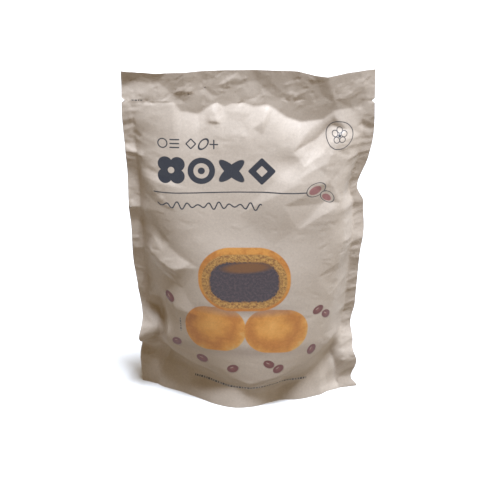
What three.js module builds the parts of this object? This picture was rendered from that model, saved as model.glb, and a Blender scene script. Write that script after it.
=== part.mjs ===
// A filled stand-up food pouch of kraft-paper film: two panels sealed together down both sides and
// across the top, spread at the foot by a folded-in bottom gusset. It is shut, so it is one solid.
// Millimetres, +Z up. The front panel faces -Y, and the origin is on the floor below the middle.
//
// Every point of a panel has flat coordinates: u runs across from the middle, v runs up from the
// bottom edge. The functions below turn (u, v) into the place of that point once the pouch is full.
import * as THREE from "three";

// Lay-flat pouch
const FLAT_WIDTH = 230;
const FLAT_HEIGHT = 338;
const SIDE_SEAL = 10;
const FOOT_SEAL = 15; // the side seal widens to this at the foot, where four layers meet
const HEADER = 36; // band at the top where the two panels lie together
const SHEET = 0.8; // both panels together where they are sealed
const NOTCH_DROP = 30.5; // tear notches, below the top edge
const NOTCH_HEIGHT = 4.6;
const NOTCH_DEPTH = 2.9;

// Filled pouch
const STANDING_HEIGHT = 326;
const LEAN = 6; // the top edge hangs back by this
const LEAN_POWER = 1.5;
const STEEPEST = 0.8; // steepest slope that still draws the sides in

const HALF = FLAT_WIDTH / 2;
const HEADER_LINE = FLAT_HEIGHT - HEADER;
const NOTCH_LEVEL = FLAT_HEIGHT - NOTCH_DROP;
const FRONT = -1;
const BACK = 1;

// Half-depth of a panel on its fullest line, at each level
const DEPTHS = [
  [0, 46], [22, 45.5], [64, 44.5], [125, 37], [175, 30], [213, 26], [258, 14], [286, 6], [HEADER_LINE, 0],
];
const SHOULDER = 258; // above this level the depths follow the header's uneven edge
// Power by which the left and the right side of a panel are flat inside and rolled at the edge
const FLATNESS = {
  [-1]: [[0, 2], [64, 2.4], [125, 2.9], [213, 4.5], [HEADER_LINE, 5]],
  [1]: [[0, 1.8], [50, 2], [125, 3.3], [213, 7], [HEADER_LINE, 7]],
};
// Distance by which the fullest line lies to the right of the middle, at each level
const CREST = [[0, 10], [90, 10], [180, 0], [FLAT_HEIGHT, 0]];
// Beside the left seal the two panels lie pressed together: the share of this, at each level
const PRESSED = [[38, 0], [55, 1], [82, 1], [112, 0]];
const PRESSED_WIDTH = 9;
const PRESSED_WALL = 15; // width of the wall of the body beside it
const FOOT_PEAK = 0.5; // towards the foot the section is more pointed
const FOOT_PEAK_LEVEL = 70;

// Distance of the bottom edge from the middle, at each place along u
const RIM = {
  [FRONT]: [
    [-100, 0], [-89, 7], [-75, 15], [-47, 30.8], [-30, 40], [-11, 45.6], [8, 42], [22, 35],
    [34, 30], [52, 28.8], [62, 25.6], [74, 19.5], [86, 9], [100, 0],
  ],
  [BACK]: [[-100, 0], [-80, 15], [-40, 36], [0, 43], [40, 37], [80, 16], [100, 0]],
};

// Bottom gusset
const GUSSET_SIDE = 43; // height of its seal beside the side seals
const RECESS = 5; // the gusset stands this far above the floor, beside the rim
const RECESS_EDGE = 14; // width over which the recess fades at the side seals
const POCKET_START = 0.55; // share of the half-width beyond which the whole gusset is recessed
const POCKET_RISE = 0.3;

// The gusset's seal draws each panel in along a line: its level at each place along u. Below it a
// plain skirt leans back, and above it the panel swells to its full depth over a short distance.
const SKIRT_LINE = {
  [FRONT]: [
    [-115, 47], [-90, 43], [-77, 40], [-62, 35], [-45, 32], [-25, 25], [-12, 19], [2, 10], [30, 12],
    [60, 20], [82, 30], [115, 44],
  ],
  [BACK]: [
    [-115, 44], [-80, 32], [-50, 20], [-25, 13], [0, 10], [25, 13], [50, 20], [80, 32], [115, 44],
  ],
};
const SKIRT_SLOPE = [[-115, 0.21], [-30, 0.22], [10, 0.16], [50, 0.17], [80, 0.1], [115, 0.1]];
const SKIRT_REACH = [[-115, 7], [-30, 9], [8, 20], [60, 28], [115, 36]];

// Grid of each panel, and of the gusset between them
const COLUMNS = 42;
const SEAL_COLUMNS = 2;
const EDGE_CROWDING = 4; // columns stand closer together towards the side seals
const FOOT_ROWS = 14; // rows up to FOOT_TOP, and above it
const FOOT_TOP = 64;
const BODY_ROWS = 40;
const GUSSET_ROWS = 8;
const SECTION_STEPS = 64;
const SECTION_LEVELS = [-8, -4, 0, 4, 8]; // a side's line is even over these levels

// Large folds. Each is a hip roof along a line in flat coordinates: height is outwards, so a
// valley is negative. above and below are its widths on the two sides, and start and end the
// lengths over which it rises from its ends.
const FOLDS = {
  [FRONT]: [
    { from: [82, 290], to: [44, 256], height: -8, above: 9, below: 9, start: 8, end: 26 },
    { from: [90, 284], to: [56, 232], height: 3.2, above: 12, below: 18, start: 14, end: 26 },
    { from: [62, 250], to: [2, 192], height: 2.8, above: 16, below: 30, start: 22, end: 60 },
    { from: [84, 220], to: [42, 196], height: -2.6, above: 18, below: 9, start: 12, end: 30 },
    { from: [-102, 160], to: [-58, 128], height: 3.6, above: 24, below: 7, start: 8, end: 30 },
    { from: [-84, 116], to: [-60, 86], height: 2.2, above: 20, below: 6, start: 6, end: 20 },
    { from: [-104, 56], to: [-84, 52], height: 2.5, above: 26, below: 5, start: 6, end: 10 },
    { from: [-31, 309], to: [-30, 286], height: 3, above: 5, below: 7, start: 4, end: 14 },
    { from: [20, 304], to: [9, 282], height: 2.6, above: 5, below: 5, start: 4, end: 12 },
    { from: [122, 44], to: [62, 26], height: 3, above: 14, below: 30, start: 4, end: 44 },
    { from: [-112, 236], to: [-62, 214], height: 2.6, above: 12, below: 14, start: 6, end: 44 },
    { from: [112, 150], to: [74, 128], height: -2.6, above: 14, below: 12, start: 6, end: 34 },
  ],
  [BACK]: [
    { from: [-76, 290], to: [-24, 248], height: -4.5, above: 11, below: 10, start: 8, end: 34 },
    { from: [80, 292], to: [30, 222], height: 3.6, above: 20, below: 26, start: 14, end: 56 },
    { from: [-112, 190], to: [-60, 152], height: 3.2, above: 20, below: 8, start: 40, end: 9 },
    { from: [114, 120], to: [70, 88], height: 3, above: 18, below: 8, start: 30, end: 10 },
    { from: [-70, 120], to: [-20, 96], height: -2.4, above: 16, below: 14, start: 22, end: 30 },
  ],
};
// Folds fade where the two panels are closer than about this
const DENT_ROOM = 8;
const RIDGE_ROOM = 2.5;

// Folds that both panels share, in the header. Here height is backwards.
const SHARED_FOLDS = [
  { from: [-26, 322], to: [-8, 334], height: -0.8, above: 2.5, below: 8, start: 5, end: 6 },
  { from: [-124, 327], to: [-58, 330], height: 3.6, above: 30, below: 25, start: 6, end: 24 },
  { from: [-122, 317], to: [-84, 343], height: 2, above: 10, below: 16, start: 6, end: 16 },
  { from: [-62, 300], to: [-36, 335], height: 0.8, above: 16, below: 9, start: 10, end: 8 },
  { from: [0, 334], to: [32, 304], height: 0.8, above: 9, below: 15, start: 10, end: 10 },
  { from: [62, 334], to: [70, 306], height: 0.9, above: 8, below: 10, start: 4, end: 10 },
  { from: [86, 306], to: [104, 330], height: -0.9, above: 9, below: 13, start: 8, end: 8 },
];

// Broad dents: centre, half-sizes along u and v, and depth
const DENTS = {
  [FRONT]: [
    { at: [-22, 214], half: [72, 60], depth: -4 },
    { at: [36, 250], half: [22, 18], depth: -2.4 },
    { at: [-40, 24], half: [30, 22], depth: -3.5 },
  ],
  [BACK]: [
    { at: [20, 190], half: [60, 80], depth: -3.5 },
    { at: [-30, 282], half: [18, 12], depth: -2.6 },
  ],
};

// Lower edge of the header, where each panel begins to swell: place along u, level
const HEADER_EDGE = {
  [FRONT]: [
    [-106, 302], [-94, 306], [-68, 307], [-61, 298], [-45, 295], [-33, 304], [-28, 306], [-22, 302],
    [-15, 305], [-2, 305], [5, 302], [18, 303], [24, 300], [34, 292], [48, 287], [68, 290], [79, 300],
    [106, 302],
  ],
  [BACK]: [
    [-106, 302], [-80, 304], [-62, 294], [-46, 288], [-30, 299], [-8, 302], [12, 295], [30, 301],
    [52, 297], [68, 290], [84, 300], [106, 303],
  ],
};

// Shift in Y of the top edge, both panels together, at each place along u
const TOP_SHIFT = [
  [-115, -0.4], [-92, -1.4], [-60, 0], [-36, 2.8], [4, 4.6], [38, 2.6], [56, 0], [72, -2], [86, -0.4],
  [101, 1], [115, 4.6],
];
const TOP_SLANT = 0.25; // these waves run down the header at a slant
const TOP_REACH = 70;
// Loss of height of the top edge where the film curls over
const TOP_SINK = [
  [-115, 1.5], [-100, 3], [-84, 3.3], [-60, 1.2], [-36, 0], [45, 0], [60, 3.2], [72, 4.2], [90, 1.2],
  [106, 0], [115, 0],
];

// Shift in Y of each side seal, at each level
const SEAL_SHIFT = {
  [-1]: [
    [0, -4], [30, -2], [42, 1], [53, -11], [96, 1.8], [108, 0.6], [126, 1.8], [158, -2.2], [186, -0.4],
    [200, -2], [222, 0], [240, 0.6], [250, -0.8], [262, 0.8], [281, 0.6], [302, 1.8],
  ],
  [1]: [
    [0, -9], [28, -7.5], [35, -8.4], [48, -4.6], [70, 0], [97, 0.5], [126, -1], [150, -2.4],
    [196, 1.2], [210, 0.2], [240, 0.6], [292, 2.5],
  ],
};
const SEAL_REACH = 34; // how far into the body this shift fades
const SEAL_STRIP = 16; // over this width its creases run at a slant that changes with the level
const SEAL_SLANT = 0.5;
const SEAL_TURN = 17;
const SEAL_TURN_START = 1;
const SEAL_BEND = { [-1]: 0, [1]: 0.3 }; // each seal is bent back by this slope

// How far each side is drawn in beyond what the bulge alone does: the level, the reach above and
// below it, and the draw.
const PINCHES = [
  { side: 1, at: 268, above: 40, below: 24, draw: -1.6 },
  { side: 1, at: 219, above: 32, below: 18, draw: 7 },
  { side: 1, at: 172, above: 28, below: 28, draw: -2 },
  { side: 1, at: 70, above: 20, below: 22, draw: 2.8 },
  { side: 1, at: 31, above: 16, below: 14, draw: -3.5 },
  { side: 1, at: 11, above: 12, below: 9, draw: 3.2 },
  { side: 1, at: 0, above: 8, below: 5, draw: -3 },
  { side: -1, at: 200, above: 70, below: 60, draw: -4 },
  { side: -1, at: 142, above: 42, below: 46, draw: -3.4 },
  { side: -1, at: 80, above: 30, below: 24, draw: 4.5 },
  { side: -1, at: 50, above: 12, below: 10, draw: 1.6 },
  { side: -1, at: 32, above: 12, below: 16, draw: -2 },
];
const PINCH_POWER = 4; // the draw fades towards the middle by this power

// The left four-layer corner at the foot is bent back along a line at this distance from the middle
const FLAP_HINGE = 98;
const FLAP_SLOPE = { [-1]: 0.45, [1]: 0 };
const FLAP_TOP = 58;
const FLAP_FADE = 18;

const clamp = (x, low = 0, high = 1) => Math.min(high, Math.max(low, x));
const smooth = (x) => clamp(x) ** 2 * (3 - 2 * clamp(x));
const bump = (x, half) => smooth(1 - Math.abs(x) / half);

const sum = (values) => values.reduce((total, value) => total + value, 0);

// The span of a row of knots [place, value] that holds x, and how far along it x is.
function spanAt(knots, x) {
  const after = knots.findIndex(([place]) => place > x);
  const i = clamp(after < 0 ? knots.length - 2 : after - 1, 0, knots.length - 2);
  const width = knots[i + 1][0] - knots[i][0];
  return { i, width, t: clamp((x - knots[i][0]) / width) };
}

// A broken line through knots.
function lineAt(knots, x) {
  const { i, t } = spanAt(knots, x);
  return THREE.MathUtils.lerp(knots[i][1], knots[i + 1][1], t);
}

// Slope of a parabola through a knot and its two neighbours, or of the span at either end.
function slopeAt(knots, i) {
  const rise = ([x0, y0], [x1, y1]) => (y1 - y0) / (x1 - x0);
  if (i === 0) return rise(knots[0], knots[1]);
  if (i === knots.length - 1) return rise(knots[i - 1], knots[i]);
  const share = (knots[i][0] - knots[i - 1][0]) / (knots[i + 1][0] - knots[i - 1][0]);
  return THREE.MathUtils.lerp(rise(knots[i - 1], knots[i]), rise(knots[i], knots[i + 1]), share);
}

// A smooth curve through knots.
function curveAt(knots, x) {
  const { i, width, t } = spanAt(knots, x);
  const bend = width * t * (1 - t) * (slopeAt(knots, i) * (1 - t) - slopeAt(knots, i + 1) * t);
  return knots[i][1] * (1 + 2 * t) * (1 - t) ** 2 + knots[i + 1][1] * t ** 2 * (3 - 2 * t) + bend;
}

const sealAt = (v) => SIDE_SEAL + (FOOT_SEAL - SIDE_SEAL) * clamp(1 - v / GUSSET_SIDE);
const bodyHalf = (v) => HALF - sealAt(v);

// How far a panel stands out of the middle, for a header whose lower edge is at the height top.
function bulgeAt(u, v, face, top) {
  const stretch = (HEADER_LINE - SHOULDER) / (top - SHOULDER);
  const level = v > SHOULDER ? SHOULDER + (v - SHOULDER) * stretch : v;
  const depth = level < HEADER_LINE ? Math.max(curveAt(DEPTHS, level), 0) : 0;
  const even = clamp(u / bodyHalf(v), -1, 1);
  const share = even - (curveAt(CREST, v) / HALF) * (1 - even ** 2);
  const peak = 1 + FOOT_PEAK * smooth(1 - v / FOOT_PEAK_LEVEL);
  const power = curveAt(FLATNESS[share < 0 ? -1 : 1], v);
  const wall = smooth(1 - (u + bodyHalf(v) - PRESSED_WIDTH) / PRESSED_WALL);
  const body = depth * (1 - Math.abs(share) ** power) ** peak * (1 - lineAt(PRESSED, v) * wall);
  const skirt = Math.max(curveAt(RIM[face], u) - lineAt(SKIRT_SLOPE, u) * v, 0);
  const above = (v - lineAt(SKIRT_LINE[face], u)) / lineAt(SKIRT_REACH, u);
  return THREE.MathUtils.lerp(body, skirt, smooth(1 - above));
}

// Distance from the middle at one level: the bulge takes up width, which draws the sides in.
function sectionAt(u, v) {
  const step = u / SECTION_STEPS;
  let across = 0;
  let last = bulgeAt(0, v, FRONT, HEADER_LINE);
  for (let k = 1; k <= SECTION_STEPS; k++) {
    const out = bulgeAt(k * step, v, FRONT, HEADER_LINE);
    const slope = Math.min(Math.abs((out - last) / step), STEEPEST);
    across += step * Math.sqrt(1 - slope ** 2);
    last = out;
  }
  return across;
}

// The same, even over nearby levels.
function acrossAt(u, v) {
  if (u === 0) return 0;
  const levels = SECTION_LEVELS.map((k) => clamp(v + k, 0, FLAT_HEIGHT));
  return sum(levels.map((level) => sectionAt(u, level))) / levels.length;
}

// Height of one hip-roof fold at (u, v).
function foldAt(u, v, fold) {
  const along = new THREE.Vector2(fold.to[0] - fold.from[0], fold.to[1] - fold.from[1]);
  const length = along.length();
  along.normalize();
  const place = new THREE.Vector2(u - fold.from[0], v - fold.from[1]);
  const run = place.dot(along);
  const off = Math.sign(along.x) * along.cross(place);
  const side = 1 - (off > 0 ? off / fold.above : -off / fold.below);
  return fold.height * clamp(Math.min(side, run / fold.start, (length - run) / fold.end));
}

const foldsAt = (u, v, folds) => sum(folds.map((fold) => foldAt(u, v, fold)));

function dentsAt(u, v, face) {
  const depths = DENTS[face].map(({ at, half, depth }) => {
    const away = Math.hypot((u - at[0]) / half[0], (v - at[1]) / half[1]);
    return depth * bump(away, 1);
  });
  return sum(depths);
}

// Shift in Y of both panels together: the lean, the header's waves and folds, the buckled side
// seals and the corners bent back at the foot.
function middleAt(u, v) {
  const lean = LEAN * (v / FLAT_HEIGHT) ** LEAN_POWER;
  const drop = FLAT_HEIGHT - v;
  const waves = lineAt(TOP_SHIFT, u - TOP_SLANT * drop) * smooth(1 - drop / TOP_REACH);
  const side = u < 0 ? -1 : 1;
  const away = Math.abs(u);
  const inward = bodyHalf(v) - away;
  const strip = Math.min(HALF - away, SEAL_STRIP);
  const level = v + SEAL_SLANT * strip * Math.sin(v / SEAL_TURN + SEAL_TURN_START);
  const bend = SEAL_BEND[side] * Math.max(-inward, 0) * smooth((HEADER_LINE - v) / HEADER);
  const buckle = (curveAt(SEAL_SHIFT[side], level) + bend) * smooth(1 - Math.max(inward, 0) / SEAL_REACH);
  const flap = FLAP_SLOPE[side] * Math.max(away - FLAP_HINGE, 0) * smooth((FLAP_TOP - v) / FLAP_FADE);
  return lean + waves + buckle + flap + foldsAt(u, v, SHARED_FOLDS);
}

function pinchAt(u, v) {
  const side = Math.sign(u);
  const share = clamp(Math.abs(u) / HALF) ** PINCH_POWER;
  const draws = PINCHES.filter((pinch) => pinch.side === side).map(
    ({ at, above, below, draw }) => draw * bump(v - at, v > at ? above : below),
  );
  return side * share * sum(draws);
}

// The place of a panel's point (u, v).
function panelPoint(u, v, face) {
  const relief = foldsAt(u, v, FOLDS[face]) + dentsAt(u, v, face);
  const out = bulgeAt(u, v, face, lineAt(HEADER_EDGE[face], u));
  // Folds of one panel can't pass through the other
  const room = 1 - Math.exp(-out / (relief > 0 ? RIDGE_ROOM : DENT_ROOM));
  const x = acrossAt(u, v) - pinchAt(u, v);
  const y = middleAt(u, v) + face * (SHEET / 2 + out + relief * room);
  const sink = lineAt(TOP_SINK, u) * smooth(1 - (FLAT_HEIGHT - v) / HEADER);
  return new THREE.Vector3(x, y, (v * STANDING_HEIGHT) / FLAT_HEIGHT - sink);
}

// Flat coordinates of the grid's columns and rows. Rows meet the tip and both ends of the notches.
function columnPlaces() {
  const inner = HALF - SIDE_SEAL;
  const turn = (i) => Math.cos((Math.PI * (i + EDGE_CROWDING)) / (COLUMNS + 2 * EDGE_CROWDING));
  const body = Array.from({ length: COLUMNS + 1 }, (_, i) => (-inner * turn(i)) / turn(0));
  const seal = Array.from({ length: SEAL_COLUMNS }, (_, i) => HALF - (SIDE_SEAL * i) / SEAL_COLUMNS);
  return [...seal.map((u) => -u), ...body, ...seal.reverse()];
}

function rowPlaces() {
  const notch = [-0.5, 0, 0.5].map((share) => NOTCH_LEVEL + share * NOTCH_HEIGHT);
  const low = Array.from({ length: FOOT_ROWS }, (_, j) => (FOOT_TOP * j) / FOOT_ROWS);
  const span = FLAT_HEIGHT - FOOT_TOP;
  const high = Array.from({ length: BODY_ROWS + 1 }, (_, j) => FOOT_TOP + (span * j) / BODY_ROWS);
  const clear = [...low, ...high].filter((v) => notch.every((n) => Math.abs(n - v) > NOTCH_HEIGHT / 2));
  return [...clear, ...notch].sort((a, b) => a - b);
}

// The closed surface: both panels, the strips along the sides and the top, and the gusset.
function pouchGeometry() {
  const us = columnPlaces();
  const vs = rowPlaces();
  const points = [];
  const faces = [];
  const add = (point) => points.push(point) - 1;
  const triangle = (a, b, c) => faces.push(a, b, c);
  const quad = (a, b, c, d) => {
    triangle(a, b, c);
    triangle(a, c, d);
  };

  const panel = (face) =>
    vs.map((v) =>
      us.map((u) => {
        const point = panelPoint(u, v, face);
        const atNotch = Math.abs(u) === HALF && Math.abs(v - NOTCH_LEVEL) < 1e-6;
        if (atNotch) point.x -= Math.sign(u) * NOTCH_DEPTH;
        return add(point);
      }),
    );
  const front = panel(FRONT);
  const back = panel(BACK);
  const lastColumn = us.length - 1;
  const lastRow = vs.length - 1;

  for (let j = 0; j < lastRow; j++) {
    for (let i = 0; i < lastColumn; i++) {
      quad(front[j][i], front[j][i + 1], front[j + 1][i + 1], front[j + 1][i]);
      quad(back[j][i], back[j + 1][i], back[j + 1][i + 1], back[j][i + 1]);
    }
    quad(front[j][0], front[j + 1][0], back[j + 1][0], back[j][0]);
    quad(front[j][lastColumn], back[j][lastColumn], back[j + 1][lastColumn], front[j + 1][lastColumn]);
  }
  for (let i = 0; i < lastColumn; i++) {
    quad(front[lastRow][i], front[lastRow][i + 1], back[lastRow][i + 1], back[lastRow][i]);
  }

  // Under the pouch the gusset is sealed a little above the floor inside the rim, and the contents
  // push its middle down to the floor. Its rows run from the front rim to the back one.
  const foot = bodyHalf(0);
  const gussetColumn = (i) => {
    if (Math.abs(us[i]) >= foot) return [front[0][i], back[0][i]];
    const near = points[front[0][i]];
    const far = points[back[0][i]];
    const column = [front[0][i]];
    const fade = clamp((foot - Math.abs(us[i])) / RECESS_EDGE);
    const pocket = smooth((Math.abs(us[i]) / foot - POCKET_START) / POCKET_RISE);
    for (let k = 1; k < GUSSET_ROWS; k++) {
      const share = k / GUSSET_ROWS;
      const beside = share === 1 / GUSSET_ROWS || share === 1 - 1 / GUSSET_ROWS ? 1 : 0;
      const point = near.clone().lerp(far, share);
      point.z = RECESS * fade * Math.max(beside, pocket);
      column.push(add(point));
    }
    return [...column, back[0][i]];
  };
  const columns = us.map((_, i) => gussetColumn(i));
  for (let i = 0; i < lastColumn; i++) {
    const [left, right] = [columns[i], columns[i + 1]];
    let a = 0;
    let b = 0;
    while (a < left.length - 1 || b < right.length - 1) {
      const nextLeft = (a + 1) / (left.length - 1);
      const nextRight = (b + 1) / (right.length - 1);
      if (b >= right.length - 1 || (a < left.length - 1 && nextLeft <= nextRight)) {
        triangle(left[a], left[a + 1], right[b]);
        a++;
      } else {
        triangle(left[a], right[b + 1], right[b]);
        b++;
      }
    }
  }

  const box = new THREE.Box3().setFromPoints(points);
  const centre = box.getCenter(new THREE.Vector3());
  const geometry = new THREE.BufferGeometry().setFromPoints(points);
  geometry.setIndex(faces);
  geometry.translate(-centre.x, -centre.y, -box.min.z);
  geometry.computeVertexNormals();
  return geometry;
}

const kraft = new THREE.MeshStandardMaterial({ color: 0xc9b49c, roughness: 0.62, metalness: 0 });

const pouch = new THREE.Mesh(pouchGeometry(), kraft);
pouch.name = "pouch";

const part = new THREE.Group();
part.add(pouch);

export default part;
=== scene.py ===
"""A filled, shut stand-up pouch of kraft-paper film, seen from the front and a little above.

Every point of a panel has flat coordinates in millimetres: u runs across from the middle and v up from the
bottom edge. The functions below turn (u, v) into the place of that point once the pouch is full. The print is
drawn in the same flat coordinates, so it follows every fold.
"""

import math

import bmesh
import bpy
import numpy as np
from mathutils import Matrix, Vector
from mathutils.geometry import delaunay_2d_cdt


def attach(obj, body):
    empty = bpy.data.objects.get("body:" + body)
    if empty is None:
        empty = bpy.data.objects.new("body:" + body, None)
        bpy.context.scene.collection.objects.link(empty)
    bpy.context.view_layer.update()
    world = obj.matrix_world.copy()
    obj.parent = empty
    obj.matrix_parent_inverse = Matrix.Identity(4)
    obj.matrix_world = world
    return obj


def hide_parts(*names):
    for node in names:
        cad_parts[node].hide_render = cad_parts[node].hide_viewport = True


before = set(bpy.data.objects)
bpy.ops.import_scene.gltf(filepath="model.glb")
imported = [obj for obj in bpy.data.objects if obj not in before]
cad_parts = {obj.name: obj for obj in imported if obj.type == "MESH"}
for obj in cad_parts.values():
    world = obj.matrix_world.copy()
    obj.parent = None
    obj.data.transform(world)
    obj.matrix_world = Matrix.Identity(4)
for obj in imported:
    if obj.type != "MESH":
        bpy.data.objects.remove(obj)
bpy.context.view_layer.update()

MM = 0.001
FRONT, BACK = -1, 1
LEFT, RIGHT = -1, 1

# Lay-flat pouch
FLAT_WIDTH = 230.0
FLAT_HEIGHT = 338.0
SIDE_SEAL = 10.0
FOOT_SEAL = 15.0
HEADER = 36.0
SHEET = 0.6
NOTCH_DROP = 30.5
NOTCH_HEIGHT = 4.6
NOTCH_DEPTH = 2.9
NOTCH_REACH = 9.0

HALF = FLAT_WIDTH / 2
HEADER_LINE = FLAT_HEIGHT - HEADER
NOTCH_LEVEL = FLAT_HEIGHT - NOTCH_DROP
FOOT = HALF - FOOT_SEAL

# Filled pouch
STANDING_HEIGHT = 326.0
# level, half-depth of a panel on its middle line
DEPTHS = [
    (0, 46), (22, 45.5), (64, 44.5), (125, 37), (175, 30), (213, 26), (258, 14), (286, 6),
    (HEADER_LINE, 0),
]
SHOULDER = 258.0
# level, power by which the left and the right of a panel are flat in the middle and rolled at the edge
FLATNESS = {
    LEFT: [(0, 2.0), (64, 2.4), (125, 2.9), (213, 4.5), (HEADER_LINE, 5)],
    RIGHT: [(0, 1.8), (50, 2.0), (125, 3.3), (213, 7), (HEADER_LINE, 7)],
}
# Strip beside the left seal where the panels lie pressed together: level, share; its width, and the wall's
PRESSED = [(38, 0), (55, 1), (82, 1), (112, 0)]
PRESSED_WIDTH = 9.0
PRESSED_WALL = 15.0
# level, distance by which the fullest line lies to the right of the middle
CREST = [(0, 10), (90, 10), (180, 0), (FLAT_HEIGHT, 0)]
# The body narrows towards its fullest line at the foot: power, and level at which that begins
FOOT_PEAK = 0.5
FOOT_PEAK_LEVEL = 70.0
# place along u, distance of the bottom edge from the middle
RIM = {
    FRONT: [
        (-100, 0), (-89, 7), (-75, 15), (-47, 30.8), (-30, 40), (-11, 45.6), (8, 42), (22, 35),
        (34, 30), (52, 28.8), (62, 25.6), (74, 19.5), (86, 9), (100, 0),
    ],
    BACK: [(-100, 0), (-80, 15), (-40, 36), (0, 43), (40, 37), (80, 16), (100, 0)],
}
# Steepest slope that still draws the sides in, and rows over which that is evened out
STEEPEST = 0.8
EVEN_ROWS = 8
# Distance by which the top leans back, and the power of the lean
LEAN = 6.0
LEAN_POWER = 1.5

# Bottom gusset: level of its seal in the middle and at the sides, and the power of that line
GUSSET_MIDDLE = 9.0
GUSSET_SIDE = 43.0
GUSSET_POWER = 1.5
# The contents push it down to a level just above the floor: distance from a skirt over which it drops,
# least depth of the opening, and further depth for the full drop
GUSSET_FLOOR = 0.3
GUSSET_DROP_WIDTH = 20.0
GUSSET_DROP_START = 6.0
GUSSET_DROP_REACH = 50.0
# Least share of the opening that the skirts leave, and distance over which they close at the ends
SKIRT_LEAST = 0.2
SKIRT_END = 8.0
# place along u, level of the line along which the gusset's seal draws a panel in
SKIRT_LINE = {
    FRONT: [
        (-115, 47), (-90, 43), (-77, 40), (-62, 35), (-45, 32), (-25, 25), (-12, 19), (2, 10), (30, 12),
        (60, 20), (82, 30), (115, 44),
    ],
    BACK: [(-115, 44), (-80, 32), (-50, 20), (-25, 13), (0, 10), (25, 13), (50, 20), (80, 32), (115, 44)],
}
# place along u, lean of the skirt below that line, and distance over which the panel swells above it
SKIRT_SLOPE = [(-115, 0.21), (-30, 0.22), (10, 0.16), (50, 0.17), (80, 0.1), (115, 0.1)]
SKIRT_REACH = [(-115, 7), (-30, 9), (8, 20), (60, 28), (115, 36)]

# Folds fade where the two panels are close: distances over which dents and ridges fade
DENT_ROOM = 8.0
RIDGE_ROOM = 2.5

# Grid of the panels, the skirts and the gusset; rows across a notch, and room round them
STEP = 1.15
SKIRT_ROWS = 18
GUSSET_ROWS = 40
NOTCH_ROWS = 9
NOTCH_CLEAR = 0.3
# Distances within which points merge and edges vanish, and angle from which an edge is sharp
MERGE = 0.02
SHORTEST = 0.005
SHARP_ANGLE = 62.0

# Flat layout of the whole surface: the front panel, the back one beside it, and the gusset and the narrow
# edge faces above them
LAYOUT_GAP = 10.0
LAYOUT_SIZE = 480.0
RIBBON = 3.0
GUSSET_SPACING = 1.6

# Large folds: each is a hip roof along a line. Height is outwards, so a valley is negative.
# from, to, height, width above, width below, rise at the start, rise at the end
FOLDS = {
    FRONT: [
        ((82, 290), (44, 256), -8.0, 9, 9, 8, 26), ((90, 284), (56, 232), 3.2, 12, 18, 14, 26),
        ((62, 250), (2, 192), 2.8, 16, 30, 22, 60), ((84, 220), (42, 196), -2.6, 18, 9, 12, 30),
        ((-102, 160), (-58, 128), 3.6, 24, 7, 8, 30), ((-84, 116), (-60, 86), 2.2, 20, 6, 6, 20),
        ((-104, 56), (-84, 52), 2.5, 26, 5, 6, 10), ((-31, 309), (-30, 286), 3.0, 5, 7, 4, 14),
        ((20, 304), (9, 282), 2.6, 5, 5, 4, 12), ((-22, 290), (3, 288), -1.2, 9, 12, 7, 8),
        ((122, 44), (62, 26), 3.0, 14, 30, 4, 44), ((-112, 236), (-62, 214), 2.6, 12, 14, 6, 44),
        ((112, 150), (74, 128), -2.6, 14, 12, 6, 34),
    ],
    BACK: [
        ((-76, 290), (-24, 248), -4.5, 11, 10, 8, 34), ((80, 292), (30, 222), 3.6, 20, 26, 14, 56),
        ((-112, 190), (-60, 152), 3.2, 20, 8, 40, 9), ((114, 120), (70, 88), 3.0, 18, 8, 30, 10),
        ((-70, 120), (-20, 96), -2.4, 16, 14, 22, 30),
    ],
}

# Broad dents: centre, half-sizes, depth
DENTS = {
    FRONT: [(-22, 214, 72, 60, -4.0), (36, 250, 22, 18, -2.4), (-40, 24, 30, 22, -3.5)],
    BACK: [(20, 190, 60, 80, -3.5), (-30, 282, 18, 12, -2.6)],
}

# Lower edge of the header, where each panel begins to swell: place along u, level
HEADER_EDGE = {
    FRONT: [
        (-106, 302), (-94, 306), (-68, 307), (-61, 298), (-45, 295), (-33, 304), (-28, 306), (-22, 302),
        (-15, 305), (-2, 305), (5, 302), (18, 303), (24, 300), (34, 292), (48, 287), (68, 290), (79, 300),
        (106, 302),
    ],
    BACK: [
        (-106, 302), (-80, 304), (-62, 294), (-46, 288), (-30, 299), (-8, 302), (12, 295), (30, 301),
        (52, 297), (68, 290), (84, 300), (106, 303),
    ],
}

# Shift in Y of both panels at the top edge: place along u, shift; how far aslant that runs down, and the
# distance over which it fades
TOP_SHIFT = [
    (-115, -0.4), (-92, -1.4), (-60, 0), (-36, 2.8), (4, 4.6), (38, 2.6), (56, 0), (72, -2), (86, -0.4),
    (101, 1), (115, 4.6),
]
TOP_SLANT = 0.25
TOP_REACH = 70.0
# place along u, loss of height of the top edge where the film curls over
TOP_SINK = [
    (-115, 1.5), (-100, 3), (-84, 3.3), (-60, 1.2), (-36, 0), (45, 0), (60, 3.2), (72, 4.2), (90, 1.2),
    (106, 0), (115, 0),
]
# Shift in Y of both panels at each side seal: level, shift; distance inwards over which it fades
SEAL_SHIFT = {
    LEFT: [
        (0, -4), (30, -2), (42, 1), (53, -11), (96, 1.8), (108, 0.6), (126, 1.8), (158, -2.2), (186, -0.4),
        (200, -2), (222, 0), (240, 0.6), (250, -0.8), (262, 0.8), (281, 0.6), (302, 1.8),
    ],
    RIGHT: [
        (0, -9), (28, -7.5), (35, -8.4), (48, -4.6), (70, 0), (97, 0.5), (126, -1), (150, -2.4),
        (196, 1.2), (210, 0.2), (240, 0.6), (292, 2.5),
    ],
}
SEAL_REACH = 34.0
# Slope by which the right seal is bent back
SEAL_BEND = 0.3
# The shift of a seal runs a little aslant across it, up and down in turn
SEAL_SLANT = 0.5
SEAL_STRIP = 16.0
SEAL_TURN = 17.0
SEAL_TURN_START = 1.0

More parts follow.
